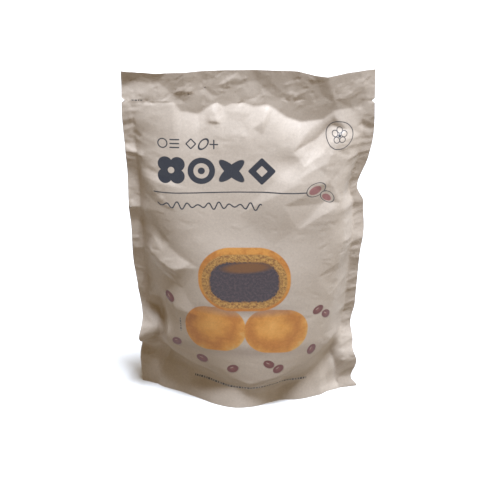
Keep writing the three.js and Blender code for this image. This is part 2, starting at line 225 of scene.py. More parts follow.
# Folds of the header that both panels share; here height is backwards
SHARED_FOLDS = [
    ((-26, 322), (-8, 334), -0.8, 2.5, 8, 5, 6), ((-124, 327), (-58, 330), 3.6, 30, 25, 6, 24),
    ((-122, 317), (-84, 343), 2.0, 10, 16, 6, 16), ((-62, 300), (-36, 335), 0.8, 16, 9, 10, 8),
    ((0, 334), (32, 304), 0.8, 9, 15, 10, 10), ((62, 334), (70, 306), 0.9, 8, 10, 4, 10),
    ((86, 306), (104, 330), -0.9, 9, 13, 8, 8),
]

# Places where a side is drawn in: side, level, reach above, reach below, draw; power by which that fades
PINCHES = [
    (1, 268, 40, 24, -1.6), (1, 219, 32, 18, 7), (1, 172, 28, 28, -2), (1, 70, 20, 22, 2.8),
    (1, 31, 16, 14, -3.5), (1, 11, 12, 9, 3.2), (1, 0, 8, 5, -3), (-1, 200, 70, 60, -4),
    (-1, 142, 42, 46, -3.4), (-1, 80, 30, 24, 4.5), (-1, 50, 12, 10, 1.6), (-1, 32, 12, 16, -2),
]
PINCH_POWER = 4

# Random short creases, soft and sharp: how many, lengths, widths of a flank and heights
SOFT_CREASES = (560, (6, 32), (1.3, 6.0), (0.08, 0.5))
SHARP_CREASES = (1100, (3, 15), (1.2, 2.8), (0.08, 0.4))
# Spread of directions, and turn of those in and close below the header, in radians
CREASE_SPREAD = 0.6
CREASE_TURN = 0.9
CREASE_TURN_REACH = 30.0
# Share of number and height that stays in tight film, and share of the length in which an end rises
CREASE_LEAST = 0.25
CREASE_RISE = 0.4

# Sharp small folds of each panel, outwards, and of both together, with height towards the front
FINE_FOLDS = {
    FRONT: [
        ((-101, 163), (-60, 137), 2.0, 18, 5, 4, 10), ((-90, 190), (-74, 168), -1.3, 4, 9, 5, 8),
        ((-35, 290), (-23, 289), 0.8, 5, 2.5, 3, 3), ((-66, 305), (-59, 296), -0.9, 3, 4, 2, 3),
    ],
    BACK: [],
}
FINE_SHARED = [
    ((-117, 281), (-102, 285), -0.9, 5, 4, 3, 3), ((-104, 276), (-99, 270), -0.8, 3, 3, 2, 2),
    ((-117, 257), (-97, 252), 1.0, 7, 3.5, 3, 4), ((-117, 199), (-94, 198), 1.4, 9, 4, 3, 5),
    ((-117, 152), (-92, 157), 1.2, 7, 3.5, 3, 4), ((-66, 318), (-46, 317), 0.7, 5, 3, 4, 5),
    ((-40, 322), (-28, 311), -0.7, 4, 5, 3, 4), ((100, 287), (116, 276), -1.0, 5, 4, 3, 3),
    ((90, 173), (104, 169), 0.9, 5, 2.5, 3, 3),
]

# Random folds across each side seal: lowest level, spacing, start outside the edge, inner end, scatter in
# level, drop, height towards the front, widths of the flanks and rises at the ends
GATHER_FOOT = 56.0
GATHER_SPACING = 18.0
GATHER_START = 2.0
GATHER_END = (82, 100)
GATHER_SCATTER = (-7, 7)
GATHER_DROP = (-6, 12)
GATHER_HEIGHT = (0.2, 0.75)
GATHER_ABOVE = (2.5, 9)
GATHER_BELOW = (2, 5)
GATHER_RISES = (3.0, 8.0)
GATHER_SEED = 85

# The four-layer corner at the left of the foot is bent back: distance of the bend from the middle, slope,
# level at which it begins and distance over which it grows
FLAP_HINGE = 98.0
FLAP_SLOPE = 0.45
FLAP_TOP = 58.0
FLAP_FADE = 18.0

# Seeds of a panel's own random fields are shifted by its face
# Random bends of the folds, across and up: cell, seed; how far
WARPS = [(26, 5), (26, 15)]
WARP = 3.0
# Looseness of the film anywhere, and more of it towards the sides and the top: start, width
LOOSE_LEAST = 0.15
LOOSE_SIDE = 0.85
LOOSE_TOP = 0.3
SIDE_STRIP = (58, 40)
TOP_STRIP = (236, 40)
# Slow waves of a panel: cell, seed; height
WAVES = (48, 61)
WAVE_HEIGHT = 0.55
# Crumpled fields of each panel, of the header and of the side seals: cell, seed, stretch, turn, height
CRUMPLE_JITTER = 0.42
PANEL_CRUMPLES = [
    (20, 31, (1.0, 1.5), 25, 0.3), (8, 41, (1.0, 1.0), 0, 0.2), (4.5, 45, (1.0, 1.0), 0, 0.06),
]
HEADER_CRUMPLES = [(20, 51, (0.8, 1.6), -52, 0.13), (7, 52, (1.0, 1.0), 0, 0.16)]
SEAL_CRUMPLES = [(15, 53, (1.6, 1.0), 0, 0.6), (6, 54, (1.0, 1.0), 0, 0.25)]
# Creases of each panel, and those that both share: kind, factor on their height, seed
PANEL_CREASES = [(SOFT_CREASES, 0.6, 71), (SHARP_CREASES, 0.9, 91)]
SHARED_CREASES = [(SOFT_CREASES, 0.45, 81), (SHARP_CREASES, 1.1, 83)]
# Strips over which random relief sets in above the foot, at the header and at the seals: start, width
FOOT_STRIP = (0, 12)
HEADER_STRIP = (HEADER_LINE - 10, 14)
SEAL_EDGE = (96, 10)


def clamp(x, low=0.0, high=1.0):
    return np.clip(x, low, high)


def smooth(x):
    x = clamp(x)
    return x * x * (3 - 2 * x)


def grown(x, start, width):
    """Rises from 0 to 1 over a width."""
    return smooth((x - start) / width)


def bump(x, half):
    return smooth(1 - np.abs(x) / half)


def body_half(v):
    return HALF - (SIDE_SEAL + (FOOT_SEAL - SIDE_SEAL) * clamp(1 - v / GUSSET_SIDE))


def curve_at(knots, x):
    """A smooth curve through knots of (place, value)."""
    places, values = (np.array(column, float) for column in zip(*knots))
    slopes = np.gradient(values, places)
    i = np.clip(np.searchsorted(places, x, side="right") - 1, 0, len(places) - 2)
    span = places[i + 1] - places[i]
    t = clamp((x - places[i]) / span)
    return (values[i] * (1 + 2 * t) * (1 - t) ** 2 + values[i + 1] * t**2 * (3 - 2 * t)
            + span * t * (1 - t) * (slopes[i] * (1 - t) - slopes[i + 1] * t))


def line_at(knots, x):
    """A broken line through knots of (place, value)."""
    places, values = zip(*knots)
    return np.interp(x, places, values)


def bulge_at(u, v, face, top):
    """How far a panel stands out of the middle, for a header whose lower edge is at the height top."""
    level = np.where(v > SHOULDER, SHOULDER + (v - SHOULDER) * (HEADER_LINE - SHOULDER) / (top - SHOULDER), v)
    depth = np.where(level < HEADER_LINE, np.maximum(curve_at(DEPTHS, level), 0), 0)
    share = clamp(u / body_half(v), -1, 1)
    share = share - curve_at(CREST, v) / HALF * (1 - share**2)
    peak = 1 + FOOT_PEAK * smooth(1 - v / FOOT_PEAK_LEVEL)
    power = np.where(share < 0, curve_at(FLATNESS[LEFT], v), curve_at(FLATNESS[RIGHT], v))
    body = depth * (1 - np.abs(share) ** power) ** peak
    body = body * (1 - line_at(PRESSED, v) * smooth(1 - (u + body_half(v) - PRESSED_WIDTH) / PRESSED_WALL))
    skirt = np.maximum(curve_at(RIM[face], u) - line_at(SKIRT_SLOPE, u) * v, 0)
    foot = smooth(1 - (v - line_at(SKIRT_LINE[face], u)) / line_at(SKIRT_REACH, u))
    return body * (1 - foot) + skirt * foot


def across_at(us, vs):
    """Distance of each point from the middle: the bulge takes up width and draws the sides in."""
    out = bulge_at(us[None, :], vs[:, None], FRONT, HEADER_LINE)
    steps = np.diff(us)
    slope = np.minimum(np.abs(np.diff(out, axis=1) / steps), STEEPEST)
    x = np.concatenate([np.zeros((len(vs), 1)), np.cumsum(np.sqrt(1 - slope**2) * steps, axis=1)], axis=1)
    centre = np.array([np.interp(0, us, row) for row in x])
    padded = np.pad(x - centre[:, None], ((EVEN_ROWS, EVEN_ROWS), (0, 0)), mode="edge")
    count = 2 * EVEN_ROWS + 1
    return sum(padded[k:k + len(vs)] for k in range(count)) / count


def fold_at(u, v, fold):
    """Height of one hip-roof fold."""
    (u0, v0), (u1, v1), height, above, below, start, end = fold
    length = math.hypot(u1 - u0, v1 - v0)
    along_u, along_v = (u1 - u0) / length, (v1 - v0) / length
    run = (u - u0) * along_u + (v - v0) * along_v
    off = math.copysign(1, along_u) * (along_u * (v - v0) - along_v * (u - u0))
    side = 1 - np.where(off > 0, off / above, -off / below)
    return height * clamp(np.minimum(np.minimum(side, run / start), (length - run) / end))


def folds_at(u, v, folds):
    return sum(fold_at(u, v, fold) for fold in folds)


def gusset_line(u):
    reach = clamp(np.abs(u) / (HALF - SIDE_SEAL))
    return GUSSET_MIDDLE + (GUSSET_SIDE - GUSSET_MIDDLE) * reach**GUSSET_POWER


def dents_at(u, v, face):
    return sum(
        depth * bump(np.hypot((u - at_u) / half_u, (v - at_v) / half_v), 1.0)
        for at_u, at_v, half_u, half_v, depth in DENTS[face]
    )


def middle_at(u, v):
    """Shift in Y of both panels together: the lean, the header's waves, and the buckled side seals."""
    lean = LEAN * (v / FLAT_HEIGHT) ** LEAN_POWER
    waves = line_at(TOP_SHIFT, u - TOP_SLANT * (FLAT_HEIGHT - v))
    header = waves * smooth(1 - (FLAT_HEIGHT - v) / TOP_REACH)
    inward = np.maximum(body_half(v) - np.abs(u), 0)
    slant = SEAL_SLANT * np.sin(v / SEAL_TURN + SEAL_TURN_START)
    level = v + np.minimum(HALF - np.abs(u), SEAL_STRIP) * slant
    buckle = np.where(u < 0, curve_at(SEAL_SHIFT[LEFT], level), curve_at(SEAL_SHIFT[RIGHT], level))
    reach = smooth(1 - inward / SEAL_REACH)
    bend = SEAL_BEND * np.maximum(u - body_half(v), 0)
    buckle = buckle + bend * smooth((HEADER_LINE - v) / HEADER)
    flap = FLAP_SLOPE * np.maximum(-u - FLAP_HINGE, 0) * smooth((FLAP_TOP - v) / FLAP_FADE)
    return lean + header + buckle * reach + flap + folds_at(u, v, SHARED_FOLDS)


def pinch_at(u, v):
    share = clamp(np.abs(u) / HALF) ** PINCH_POWER
    total = 0
    for side, at, above, below, draw in PINCHES:
        reach = bump(v - at, np.where(v > at, above, below))
        total = total + np.where(u * side > 0, side * draw * share * reach, 0)
    return total


def crumple(us, vs, cell, seed, stretch, turn):
    """Heights from -1 to 1 of a crumpled sheet: flat facets between random points about cell apart."""
    rng = np.random.default_rng(seed)
    span = 1.5 * max(FLAT_WIDTH, FLAT_HEIGHT)
    lines = np.arange(-span, span, cell)
    points = np.stack(np.meshgrid(lines, lines), -1).reshape(-1, 2)
    points = points + rng.uniform(-CRUMPLE_JITTER, CRUMPLE_JITTER, points.shape) * cell
    heights = rng.uniform(-1, 1, len(points))
    c, s = math.cos(math.radians(turn)), math.sin(math.radians(turn))
    points = points * stretch @ np.array([[c, s], [-s, c]])
    points[:, 1] += FLAT_HEIGHT / 2
    edge = 3 * cell * max(stretch)
    low, high = (us[0] - edge, vs[0] - edge), (us[-1] + edge, vs[-1] + edge)
    near = np.all((points > low) & (points < high), axis=1)
    points, heights = points[near], heights[near]
    made = delaunay_2d_cdt([Vector(p) for p in points], [], [], 0, 1e-6)
    corners = np.array([list(p) for p in made[0]])
    level = np.array([heights[origin[0]] for origin in made[3]])
    out = np.zeros((len(vs), len(us)))
    for triangle in made[2]:
        at = corners[list(triangle)]
        i0, i1 = np.searchsorted(us, [at[:, 0].min(), at[:, 0].max()])
        j0, j1 = np.searchsorted(vs, [at[:, 1].min(), at[:, 1].max()])
        if i0 == i1 or j0 == j1:
            continue
        u, v = us[None, i0:i1], vs[j0:j1, None]
        (ax, ay), (bx, by), (cx, cy) = at
        area = (bx - ax) * (cy - ay) - (cx - ax) * (by - ay)
        wb = ((u - ax) * (cy - ay) - (cx - ax) * (v - ay)) / area
        wc = ((bx - ax) * (v - ay) - (u - ax) * (by - ay)) / area
        inside = (wb >= -1e-9) & (wc >= -1e-9) & (wb + wc <= 1 + 1e-9)
        ha, hb, hc = level[list(triangle)]
        block = out[j0:j1, i0:i1]
        block[inside] = (ha + (hb - ha) * wb + (hc - ha) * wc)[inside]
    return out


def wander(us, vs, cell, seed):
    """Smooth random field from -1 to 1 that changes over about cell millimetres."""
    rng = np.random.default_rng(seed)
    count_u = int(FLAT_WIDTH / cell) + 3
    count_v = int(FLAT_HEIGHT / cell) + 3
    knots = rng.uniform(-1, 1, (count_v, count_u))
    at_u = (us + HALF) / cell
    at_v = vs / cell
    i, j = at_u.astype(int), at_v.astype(int)
    fu, fv = smooth(at_u - i)[None, :], smooth(at_v - j)[:, None]
    low = knots[j][:, i] * (1 - fu) + knots[j][:, i + 1] * fu
    high = knots[j + 1][:, i] * (1 - fu) + knots[j + 1][:, i + 1] * fu
    return low * (1 - fv) + high * fv


def creases(us, vs, looseness, kind, seed):
    """Many short straight creases, more and higher where the film is loose."""
    count, lengths, widths, heights = kind
    rng = np.random.default_rng(seed)
    out = np.zeros((len(vs), len(us)))
    for _ in range(count):
        u, v = rng.uniform(us[0], us[-1]), rng.uniform(vs[0], vs[-1])
        turn = rng.normal(0, CREASE_SPREAD) + (CREASE_TURN if v > HEADER_LINE - CREASE_TURN_REACH else 0)
        length = rng.uniform(*lengths)
        above, below = rng.uniform(*widths, 2)
        height = rng.uniform(*heights) * rng.choice((-1, 1))
        chance = rng.uniform()
        loose = looseness[np.searchsorted(vs, v), np.searchsorted(us, u)]
        if chance > CREASE_LEAST + loose:
            continue
        du, dv = length / 2 * math.cos(turn), length / 2 * math.sin(turn)
        edge = length / 2 + widths[1]
        i0, i1 = np.searchsorted(us, (u - edge, u + edge))
        j0, j1 = np.searchsorted(vs, (v - edge, v + edge))
        height = height * (CREASE_LEAST + (1 - CREASE_LEAST) * loose)
        rise = length * CREASE_RISE
        fold = ((u - du, v - dv), (u + du, v + dv), height, above, below, rise, rise)
        out[j0:j1, i0:i1] += fold_at(us[None, i0:i1], vs[j0:j1, None], fold)
    return out


def all_creases(us, vs, looseness, kinds, shift=0):
    return sum(factor * creases(us, vs, looseness, kind, seed + shift) for kind, factor, seed in kinds)


def crumples(us, vs, fields, shift=0):
    """The sum of several crumpled fields, with their seeds shifted."""
    return sum(
        height * crumple(us, vs, cell, seed + shift, stretch, turn)
        for cell, seed, stretch, turn, height in fields
    )


def gathers(us, vs):
    """Short folds across each side seal, where the film gathers beside the filling."""
    rng = np.random.default_rng(GATHER_SEED)
    u, v = us[None, :], vs[:, None]
    out = 0
    for side in (LEFT, RIGHT):
        for level in np.arange(GATHER_FOOT, HEADER_LINE, GATHER_SPACING):
            start = (side * (HALF + GATHER_START), level + rng.uniform(*GATHER_SCATTER))
            end = (side * rng.uniform(*GATHER_END), start[1] - rng.uniform(*GATHER_DROP))
            height = rng.uniform(*GATHER_HEIGHT)
            above, below = rng.uniform(*GATHER_ABOVE), rng.uniform(*GATHER_BELOW)
            out = out + fold_at(u, v, (start, end, height, above, below, *GATHER_RISES))
    return out


def panel_detail(us, vs, face):
    """Small random relief of one panel, outwards."""
    u, v = us[None, :], vs[:, None]
    side, top = grown(np.abs(u), *SIDE_STRIP), grown(v, *TOP_STRIP)
    loose = clamp(LOOSE_LEAST + LOOSE_SIDE * side + LOOSE_TOP * top)
    crumpled = crumples(us, vs, PANEL_CRUMPLES, face) * loose
    creased = all_creases(us, vs, loose, PANEL_CREASES, face)
    cell, seed = WAVES
    return WAVE_HEIGHT * wander(us, vs, cell, seed + face) + (crumpled + creased) * grown(v, *FOOT_STRIP)


def shared_detail(us, vs):
    """Small random relief of both panels together, backwards."""
    u, v = us[None, :], vs[:, None]
    header = grown(v, *HEADER_STRIP) + 0 * u
    seal = grown(np.abs(u), *SEAL_EDGE) * (1 - header)
    crumpled = crumples(us, vs, HEADER_CRUMPLES) * header
    crumpled = crumpled + crumples(us, vs, SEAL_CRUMPLES) * seal * grown(v, *FOOT_STRIP)
    creased = all_creases(us, vs, header + seal, SHARED_CREASES)
    return crumpled + creased * (header + seal) - gathers(us, vs)


def panel_points(us, vs, face, detail=True):
    """The places of the middle of a panel's film, as an array of rows by columns by 3, in millimetres."""
    u, v = us[None, :], vs[:, None]
    warped_u, warped_v = u, v
    if detail:
        warped_u, warped_v = (
            place + WARP * wander(us, vs, cell, seed + face) for place, (cell, seed) in zip((u, v), WARPS)
        )
    relief = folds_at(warped_u, warped_v, FOLDS[face]) + dents_at(u, v, face)
    out = bulge_at(u, v, face, line_at(HEADER_EDGE[face], u))
    middle = middle_at(u, v)
    if detail:
        relief = relief + folds_at(warped_u, warped_v, FINE_FOLDS[face]) + panel_detail(us, vs, face)
        middle = middle - folds_at(warped_u, warped_v, FINE_SHARED) + shared_detail(us, vs)
    room = 1 - np.exp(-out / np.where(relief > 0, RIDGE_ROOM, DENT_ROOM))
    x = across_at(us, vs) - pinch_at(u, v)
    y = middle + face * (out + relief * room)
    sink = line_at(TOP_SINK, u) * smooth(1 - (FLAT_HEIGHT - v) / HEADER)
    z = v * STANDING_HEIGHT / FLAT_HEIGHT - sink
    return np.stack([x + 0 * y, y, z], -1)


def finished_panel(us, vs, face):
    """A panel with the film's thickness and the tear notches."""
    points = panel_points(us, vs, face)
    u, v = us[None, :], vs[:, None]
    notch = NOTCH_DEPTH * clamp(1 - np.abs(v - NOTCH_LEVEL) / (NOTCH_HEIGHT / 2))
    points[..., 0] -= np.sign(u) * notch * clamp((np.abs(u) - HALF + NOTCH_REACH) / NOTCH_REACH)
    points[..., 1] += face * SHEET / 2
    return points


def grid_places():
    inner = np.linspace(-FOOT, FOOT, 2 * round(FOOT / STEP) + 1)
    outer = np.linspace(FOOT, HALF, round(FOOT_SEAL / STEP) + 1)[1:]
    us = np.concatenate([-outer[::-1], inner, outer])
    rows = np.linspace(0, FLAT_HEIGHT, round(FLAT_HEIGHT / STEP) + 1)
    notch = NOTCH_LEVEL + NOTCH_HEIGHT / 2 * np.linspace(-1, 1, NOTCH_ROWS)
    clear = rows[np.abs(rows - NOTCH_LEVEL) > NOTCH_HEIGHT / 2 + NOTCH_CLEAR]
    return us, np.sort(np.concatenate([clear, notch]))


def gusset_points(us, front, back):
    """Under the pouch: the inner side of the front skirt, the gusset and the inner side of the back one."""
    inside = np.abs(us) <= FOOT + 1e-6
    u = us[inside]
    line = gusset_line(u) * STANDING_HEIGHT / FLAT_HEIGHT
    fade = smooth((FOOT - np.abs(u)) / SKIRT_END)
    skirts = {FRONT: [], BACK: []}
    columns = np.flatnonzero(inside)
    for k in range(SKIRT_ROWS + 1):
        height = line * k / SKIRT_ROWS
        (x, near), (_, far) = (
            [
                np.array([np.interp(h, panel[:, i, 2], panel[:, i, axis]) for i, h in zip(columns, height)])
                for axis in (0, 1)
            ]
            for panel in (front, back)
        )
        middle, half = (near + far) / 2, (far - near) / 2
        inset = np.maximum(half - 2 * SHEET, SKIRT_LEAST * half) * fade
        for face in skirts:
            skirts[face].append(np.stack([x, middle + face * inset, height], -1))
    start, end = skirts[FRONT][-1], skirts[BACK][-1]
    room = np.abs(end[:, 1] - start[:, 1])
    between = []
    for k in range(1, GUSSET_ROWS):
        share = k / GUSSET_ROWS
        point = start * (1 - share) + end * share
        inner = min(share, 1 - share) * room
        drop = smooth(inner / GUSSET_DROP_WIDTH) * smooth((room - GUSSET_DROP_START) / GUSSET_DROP_REACH)
        point[:, 2] = line * (1 - drop) + GUSSET_FLOOR * drop
        between.append(point)
    return inside, np.array(skirts[FRONT] + between + skirts[BACK][::-1])


def strip(a, b):
    """Quads between two lines of points, or of their places in the flat layout."""
    return np.stack([a[:-1], a[1:], b[1:], b[:-1]], 1)


def finished_mesh(points, quads, places):
    """A mesh of quads, with their places in the flat layout as its UV map."""
    mesh = bpy.data.meshes.new("pouch_film")
    mesh.from_pydata(points, [], quads.tolist())
    layer = mesh.uv_layers.new(name="flat")
    layer.uv.foreach_set("vector", places.astype(np.float32).ravel())
    work = bmesh.new()
    work.from_mesh(mesh)
    bmesh.ops.remove_doubles(work, verts=work.verts, dist=MERGE * MM)
    bmesh.ops.dissolve_degenerate(work, edges=work.edges, dist=SHORTEST * MM)
    work.to_mesh(mesh)
    work.free()
    mesh.polygons.foreach_set("use_smooth", np.ones(len(mesh.polygons), bool))
    mesh.set_sharp_from_angle(angle=math.radians(SHARP_ANGLE))
    return mesh


def pouch_mesh():
    """The whole film, and the middle of the two panels without their small relief."""
    us, vs = grid_places()
    front, back = (finished_panel(us, vs, face) for face in (FRONT, BACK))
    plain = np.concatenate([panel_points(us, vs, face, False).reshape(-1, 3) for face in (FRONT, BACK)])
    centre = (plain.min(0) + plain.max(0)) / 2
    inside, under = gusset_points(us, front, back)
    rows, columns = len(vs), len(us)
    middle = (front[0] + back[0]) / 2

    front_id = np.arange(rows * columns).reshape(rows, columns)
    back_id = front_id + rows * columns
    middle_id = 2 * rows * columns + np.arange(columns)
    under_id = middle_id[-1] + 1 + np.arange(under[..., 0].size).reshape(under.shape[:2])
    points = np.concatenate([part.reshape(-1, 3) for part in (front, back, middle, under)])

    v_grid, u_grid = np.meshgrid(vs, us, indexing="ij")
    front_flat = np.stack([u_grid + HALF, v_grid], -1)
    back_flat = np.stack([2 * FLAT_WIDTH + LAYOUT_GAP - (u_grid + HALF), v_grid], -1)
    above = FLAT_HEIGHT + LAYOUT_GAP
    free_level = above
    quads, places = [], []

    def add(ids, flat, flip=False):
        """Adds the quads between each two lines of points."""
        order = slice(None, None, -1) if flip else slice(None)
        for a, b, flat_a, flat_b in zip(ids[:-1], ids[1:], flat[:-1], flat[1:]):
            quads.append(strip(a, b)[:, order])
            places.append(strip(flat_a, flat_b)[:, order])

    def ribbon(lines, flip=False):
        """Adds a narrow face along an edge, at the next free level of the layout."""
        nonlocal free_level
        along = np.linspace(FLAT_WIDTH + LAYOUT_GAP, 2 * FLAT_WIDTH + LAYOUT_GAP, len(lines[0]))
        flat = [
            np.stack([along, np.full(len(along), free_level + k * RIBBON)], -1) for k in range(len(lines))
        ]
        add(lines, flat, flip)
        free_level += len(lines) * RIBBON

    add(front_id, front_flat)
    add(back_id, back_flat, True)
    ribbon([front_id[-1], back_id[-1]])
    ribbon([front_id[:, 0], back_id[:, 0]])
    ribbon([front_id[:, -1], back_id[:, -1]], True)
    first, last = np.flatnonzero(inside)[[0, -1]]
    for side in (slice(0, first + 1), slice(last, None)):
        ribbon([front_id[0, side], middle_id[side], back_id[0, side]], True)
    bottom = [front_id[0, inside], *under_id, back_id[0, inside]]
    bottom_flat = [
        np.stack([us[inside] + HALF, np.full(int(inside.sum()), above + k * GUSSET_SPACING)], -1)
        for k in range(len(bottom))
    ]
    add(bottom, bottom_flat, True)

    points = (points - [centre[0], centre[1], 0]) * MM
    return finished_mesh(points, np.concatenate(quads), np.concatenate(places) / LAYOUT_SIZE), centre


class Pen:
    """Draws shapes with shader nodes, in the flat coordinates of the print."""

    def __init__(self, tree):
        self.tree = tree
        self.flat = self.node("ShaderNodeUVMap", uv_map="flat").outputs[0]
        scale = self.node("ShaderNodeVectorMath", operation="SCALE")
        scale.inputs["Scale"].default_value = LAYOUT_SIZE
        self.link(self.flat, scale.inputs[0])
        shift = self.node("ShaderNodeVectorMath", operation="ADD")
        shift.inputs[1].default_value = (-HALF, 0, 1)
        self.link(scale.outputs[0], shift.inputs[0])
        self.place = shift.outputs[0]  # u, v and 1

    def node(self, kind, **settings):
        made = self.tree.nodes.new(kind)
        for name, value in settings.items():
            setattr(made, name, value)
        return made

    def link(self, source, target):
        self.tree.links.new(source, target)

    def feed(self, socket, value):
        """Sets a socket to a number or a colour, or links it to another socket."""
        if isinstance(value, bpy.types.NodeSocket):
            self.link(value, socket)
        else:
            socket.default_value = (*value, 1) if isinstance(value, tuple) else value

    def math(self, operation, *values, clamped=False):
        made = self.node("ShaderNodeMath", operation=operation, use_clamp=clamped)
        for socket, value in zip(made.inputs, values):
            self.feed(socket, value)
        return made.outputs[0]

    def local(self, centre, angle=0.0, scale=(1.0, 1.0)):
        """The two coordinates from centre, along axes turned by angle degrees, in units of scale."""
        c, s = math.cos(math.radians(angle)), math.sin(math.radians(angle))
        parts = []
        for axis_u, axis_v, unit in ((c, s, scale[0]), (-s, c, scale[1])):
            along = self.node("ShaderNodeVectorMath", operation="DOT_PRODUCT")
            self.link(self.place, along.inputs[0])
            offset = centre[0] * axis_u + centre[1] * axis_v
            along.inputs[1].default_value = (axis_u / unit, axis_v / unit, -offset / unit)
            parts.append(along.outputs["Value"])
        return parts

    def axes(self):
        """The coordinates u and v."""
        return self.local((0, 0))

    def length(self, x, y):
        return self.math("SQRT", self.math("MULTIPLY_ADD", x, x, self.math("MULTIPLY", y, y)))

    def ellipse(self, centre, radii, angle=0.0):
        """Distance outside an ellipse, roughly in millimetres, negative inside."""
        span = self.length(*self.local(centre, angle, radii))
        return self.math("MULTIPLY_ADD", span, min(radii), -min(radii))

    def disc(self, centre, radius):
        return self.ellipse(centre, (radius, radius))

    def bar(self, centre, size, corner, angle=0.0):
        """Distance outside a rounded bar of that width and height."""
        beyond = [
            self.math("MAXIMUM", self.math("SUBTRACT", self.math("ABSOLUTE", part), side / 2 - corner), 0.0)
            for part, side in zip(self.local(centre, angle), size)
        ]
        return self.math("SUBTRACT", self.length(*beyond), corner)

    def union(self, shapes):
        total = shapes[0]
        for shape in shapes[1:]:
            total = self.math("MINIMUM", total, shape)
        return total

    def cut(self, shape, hole):
        return self.math("MAXIMUM", shape, self.math("MULTIPLY", hole, -1.0))

    def outline(self, shape, width):
        return self.math("SUBTRACT", self.math("ABSOLUTE", shape), width / 2)

    def stretch(self, value, middle, length):
        """Distance outside a stretch along a coordinate."""
        return self.outline(self.math("SUBTRACT", value, middle), length)

    def frame(self, centre, size, width, angle=0.0):
        """A bar's outline."""
        inner = (size[0] - 2 * width, size[1] - 2 * width)
        return self.cut(self.bar(centre, size, width, angle), self.bar(centre, inner, width / 2, angle))

    def sine(self, value, wavelength, phase=0.0):
        turn = self.math("MULTIPLY_ADD", value, 2 * math.pi / wavelength, phase)
        return self.math("SINE", turn)

    def ramp(self, value, stops):
        """Colours at places along a value from 0 to 1, the first one at 0."""
        made = self.node("ShaderNodeValToRGB")
        elements = made.color_ramp.elements
        elements.remove(elements[1])
        elements[0].color = (*stops[0][1], 1)
        for place, colour in stops[1:]:
            elements.new(place).color = (*colour, 1)
        self.link(value, made.inputs["Fac"])
        return made.outputs["Color"]

    def mask(self, shape, soft):
        """1 inside a shape and 0 outside it, with an edge of width soft."""
        return self.math("MULTIPLY_ADD", shape, -1 / soft, 0.5, clamped=True)

    def noise(self, scale, detail=3.0, stretch=(1.0, 1.0), angle=0.0, roughness=0.5):
        """Random field of about 0 to 1, with features about 1/scale millimetres apart."""
        turned = self.node("ShaderNodeMapping", vector_type="TEXTURE")
        turned.inputs["Rotation"].default_value = (0, 0, math.radians(angle))
        turned.inputs["Scale"].default_value = (*stretch, 1)
        self.link(self.flat, turned.inputs["Vector"])
        made = self.node("ShaderNodeTexNoise")
        made.inputs["Scale"].default_value = scale * LAYOUT_SIZE
        made.inputs["Detail"].default_value = detail
        made.inputs["Roughness"].default_value = roughness
        self.link(turned.outputs[0], made.inputs["Vector"])
        return made.outputs["Fac"]

    def spread(self, value, low, high, to_low=0.0, to_high=1.0):
        """A value's range from low to high, brought to another range."""
        made = self.node("ShaderNodeMapRange")
        for socket, part in zip(made.inputs, (value, low, high, to_low, to_high)):
            self.feed(socket, part)
        return made.outputs["Result"]

    def blend(self, base, colour, mask, mode="MIX"):
        """Lays a colour over base where mask is 1."""
        made = self.node("ShaderNodeMix", data_type="RGBA", blend_type=mode)
        for name, value in (("Factor", mask), ("A", base), ("B", colour)):
            self.feed(made.inputs[name], value)
        return made.outputs["Result"]

    def paint(self, base, colour, shape, soft=0.35, strength=1.0):
        """Lays a colour over base inside a shape."""
        mask = self.mask(shape, soft)
        if strength < 1:
            mask = self.math("MULTIPLY", mask, strength)
        return self.blend(base, colour, mask)


INK = (0.022, 0.024, 0.032)
BEAN = (0.130, 0.036, 0.030)
BEAN_LIGHT = (0.20, 0.07, 0.055)
BEAN_EYE = (0.50, 0.36, 0.30)
BLUSH = (0.33, 0.15, 0.14)
KRAFT = (0.54, 0.455, 0.37)
PRINT_SHADOW = (0.30, 0.22, 0.17)
CRUST_LIGHT = (0.72, 0.36, 0.10)
CRUST = (0.62, 0.28, 0.065)
CRUST_DARK = (0.45, 0.17, 0.038)
CRUST_RIM = (0.66, 0.40, 0.14)
CRUMB = (0.52, 0.29, 0.085)
CRUMB_DARK = (0.22, 0.095, 0.032)
FILLING = (0.036, 0.025, 0.030)
FILLING_LIGHT = (0.075, 0.050, 0.052)
HOLLOW = (0.16, 0.070, 0.026)

# Range in which most of a noise lies
NOISE = (0.3, 0.7)

# Places of the front print, in flat millimetres
PRINT_LEFT = -83.0
TITLE_LEVEL = 244.0
TITLE_INSET = 13.0
TITLE_SPACING = 27.6
SUBTITLE_LEVEL = 269.0
RULE_MIDDLE = (-7.0, 224.0)
RULE_LENGTH = 160.0
RULE_TILT = 1.4
FLOURISH_LEVEL = 210.5
FLOURISH_LENGTH = 96.0
WAVE_LENGTH = 9.6
LINE = 1.1
BADGE = (83.0, 277.0)
# Small print: middle, length, height; the middle of the upright one is (v, u)
SMALL_PRINT = ((2, 22), 116, 1.9)
UPRIGHT_PRINT = ((84, -66), 15, 1.3)
CORNER_PRINT = ((-101, 308), 10, 1.2)
# centre, radii, angle
DRAWN_BEANS = [((63, 228), (9.4, 6.2), 28), ((74, 220), (7.6, 5.0), -34)]
BEANS = [
    ((-76, 112), (5.8, 4.3), -58), ((-71, 63), (5.6, 4.2), 18), ((-44, 51), (5.8, 4.3), -12),
    ((-14, 44), (5.7, 4.2), 24), ((20, 50), (5.5, 4.1), -30), ((29, 44), (5.6, 4.2), 38),
    ((62, 60), (5.8, 4.4), 62), ((67, 103), (5.8, 4.2), 30), ((76, 96), (5.4, 4.1), -40),
]
# centre, size, angle
WHOLE_BUNS = [((-31, 86), (59, 46), 2), ((27, 85), (60, 45), -3)]
CUT_BUN = ((-3, 138), (86, 64), 1)
# Printed shadows: centre, radii
GROUND_SHADE = ((-2, 63), (58, 5))
CUT_SHADE = ((-3, 107), (34, 5))

